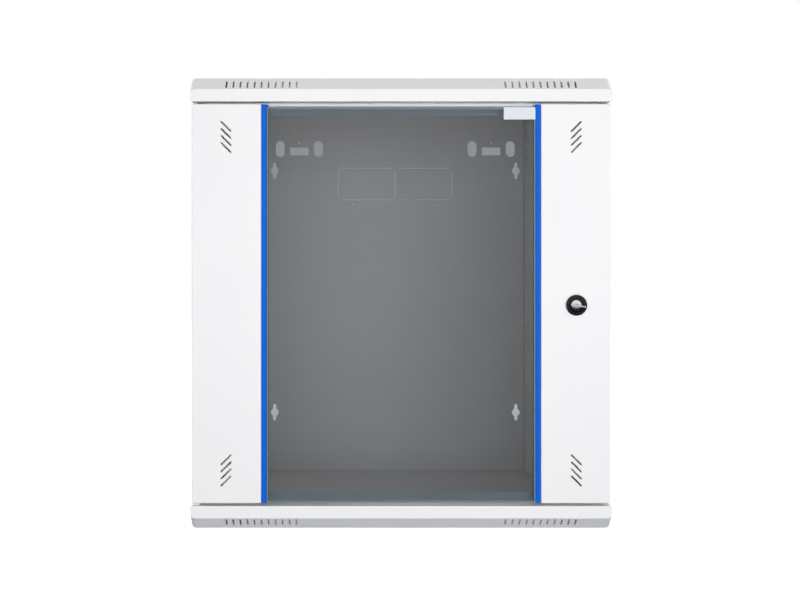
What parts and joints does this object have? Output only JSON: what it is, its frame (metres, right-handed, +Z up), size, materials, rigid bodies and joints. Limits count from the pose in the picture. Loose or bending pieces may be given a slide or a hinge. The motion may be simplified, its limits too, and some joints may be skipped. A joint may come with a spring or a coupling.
{
  "type": "network cabinet",
  "caption": "Wall-hung steel network cabinet with a locking glass door, tilting side panels and adjustable rails for 19 inch equipment.",
  "frame": {"origin": "middle of the underside of the bottom cover, where the cabinet stands", "axes": "+Z up, +X to the right seen from the front, +Y towards the wall behind; the door faces -Y"},
  "size_m": [0.6, 0.4731, 0.645],
  "materials": {
    "powder_coat": "light grey powder coat, fine texture",
    "zinc_plate": "zinc plated",
    "chrome": "polished",
    "black_lock": "glossy black",
    "tinted_glass": "grey tinted, polished, ground edges",
    "blue_trim": "satin blue",
    "nylon": "natural",
    "white_label": "smooth, blank"
  },
  "bodies": {
    "cabinet": {"top_cover": "powder_coat", "bottom_cover": "powder_coat", "back_panel": "powder_coat", "front_post_left": "powder_coat", "front_post_right": "powder_coat", "side_channel_bottom_left": "powder_coat", "side_channel_bottom_right": "powder_coat", "side_channel_top_left": "powder_coat", "side_channel_top_right": "powder_coat", "rail_front_left": "powder_coat", "rail_front_right": "powder_coat", "rail_rear_left": "powder_coat", "rail_rear_right": "powder_coat", "rail_bolt_front_left_bottom": "zinc_plate", "rail_bolt_front_left_top": "zinc_plate", "rail_bolt_front_right_bottom": "zinc_plate", "rail_bolt_front_right_top": "zinc_plate", "rail_bolt_rear_left_bottom": "zinc_plate", "rail_bolt_rear_left_top": "zinc_plate", "rail_bolt_rear_right_bottom": "zinc_plate", "rail_bolt_rear_right_top": "zinc_plate", "earth_stud": "zinc_plate", "earth_nut": "zinc_plate", "hinge_pin_bottom": "zinc_plate", "hinge_pin_top": "zinc_plate", "hinge_washer": "nylon"},
    "door": {"door_stile_left": "powder_coat", "door_stile_right": "powder_coat", "door_glass": "tinted_glass", "door_trim_left": "blue_trim", "door_trim_right": "blue_trim", "trim_screw_left_bottom": "zinc_plate", "trim_screw_left_top": "zinc_plate", "trim_screw_right_bottom": "zinc_plate", "trim_screw_right_top": "zinc_plate", "label_plate": "white_label", "lock_housing": "black_lock", "lock_nut": "zinc_plate"},
    "door_lock": {"lock_core": "chrome", "lock_cam": "zinc_plate", "cam_nut": "zinc_plate"},
    "door_key": {"key": "chrome"},
    "panel_left": {"side_panel_left": "powder_coat", "latch_housing_left": "black_lock"},
    "panel_right": {"side_panel_right": "powder_coat", "latch_housing_right": "black_lock"},
    "latch_left": {"latch_knob_left": "zinc_plate", "latch_cam_left": "zinc_plate"},
    "latch_right": {"latch_knob_right": "zinc_plate", "latch_cam_right": "zinc_plate"}
  },
  "joints": [
    {"name": "door_swing", "type": "hinge", "parent": "cabinet", "child": "door", "pos_m": [-0.2915, -0.216, 0.3225], "axis": [0, 0, -1], "range_deg": [0, 180]},
    {"name": "lock_turn", "type": "hinge", "parent": "door", "child": "door_lock", "pos_m": [0.249, -0.224, 0.3205], "axis": [0, 1, 0], "range_deg": [0, 90]},
    {"name": "key_pull", "type": "slide", "parent": "door_lock", "child": "door_key", "axis": [0, -1, 0], "range_m": [0, 0.03]},
    {"name": "panel_left_tilt", "type": "hinge", "parent": "cabinet", "child": "panel_left", "pos_m": [-0.298, 0, 0.036], "axis": [0, -1, 0], "range_deg": [0, 25]},
    {"name": "panel_right_tilt", "type": "hinge", "parent": "cabinet", "child": "panel_right", "pos_m": [0.298, 0, 0.036], "axis": [0, 1, 0], "range_deg": [0, 25]},
    {"name": "latch_left_turn", "type": "hinge", "parent": "panel_left", "child": "latch_left", "pos_m": [-0.298, 0, 0.579], "axis": [1, 0, 0], "range_deg": [0, 90]},
    {"name": "latch_right_turn", "type": "hinge", "parent": "panel_right", "child": "latch_right", "pos_m": [0.298, 0, 0.579], "axis": [1, 0, 0], "range_deg": [0, 90]}
  ]
}
